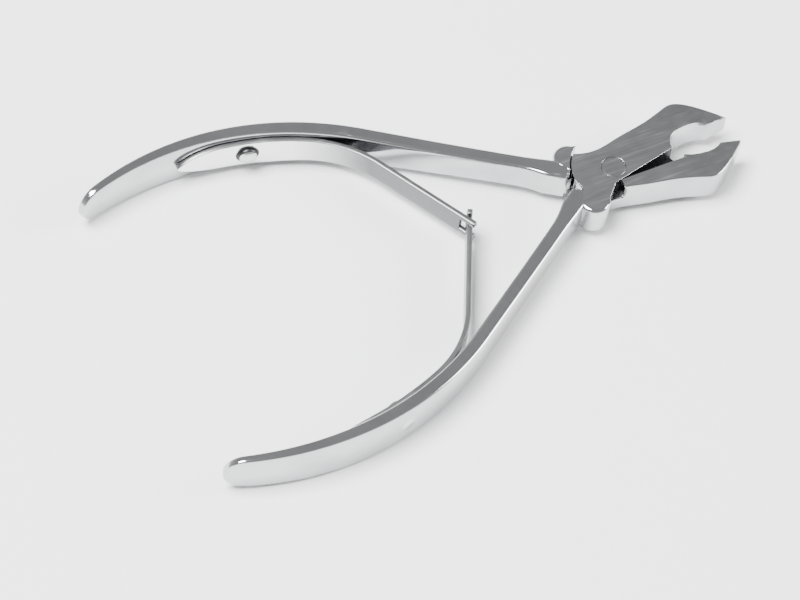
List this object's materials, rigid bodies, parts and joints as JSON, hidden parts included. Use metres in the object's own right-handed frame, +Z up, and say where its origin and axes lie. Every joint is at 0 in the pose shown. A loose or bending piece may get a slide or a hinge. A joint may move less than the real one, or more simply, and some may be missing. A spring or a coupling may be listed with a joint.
{
  "type": "cuticle nipper",
  "caption": "hand-held steel cuticle nipper with lap joint, bowed strip handles, hollow-backed cutting jaws and two hooked leaf springs that hold it open",
  "frame": {"origin": "where the pivot axis meets the flat underside of the head", "axes": "+X from the pivot towards the jaw tips, +Y towards the upper handle, +Z up along the pivot axis"},
  "size_m": [0.1054, 0.0632, 0.0082],
  "materials": {
    "polished_steel": "mirror polished stainless steel handles, satin ground head",
    "spring_steel": "polished spring strip",
    "rivet_steel": "bright turned steel"
  },
  "bodies": {
    "upper_half": {"upper_half": "polished_steel", "pivot_rivet": "rivet_steel", "upper_leaf_clamped_end": "spring_steel", "upper_spring_rivet": "rivet_steel"},
    "lower_half": {"lower_half": "polished_steel", "lower_leaf_clamped_end": "spring_steel", "lower_spring_rivet": "rivet_steel"},
    "upper_leaf": {"upper_leaf_blade": "spring_steel"},
    "lower_leaf": {"lower_leaf_blade": "spring_steel"}
  },
  "joints": [
    {"name": "jaw_hinge", "type": "hinge", "parent": "upper_half", "child": "lower_half", "pos_m": [0, 0, 0.0028], "axis": [0, 0, -1], "range_deg": [0, 12.5], "stiffness_Nm_per_rad": 1, "springref_deg": -8.59},
    {"name": "upper_leaf_flex", "type": "hinge", "parent": "upper_half", "child": "upper_leaf", "pos_m": [-0.03967, 0.022, 0.0028], "axis": [0, 0, 1], "range_deg": [0, 9.8]},
    {"name": "lower_leaf_flex", "type": "hinge", "parent": "lower_half", "child": "lower_leaf", "pos_m": [-0.03967, -0.022, 0.0028], "axis": [0, 0, -1], "range_deg": [0, 9.8]}
  ],
  "couplings": [
    {"joint": "upper_leaf_flex", "follows": "jaw_hinge", "ratio": 0.779},
    {"joint": "lower_leaf_flex", "follows": "jaw_hinge", "ratio": 0.779}
  ]
}
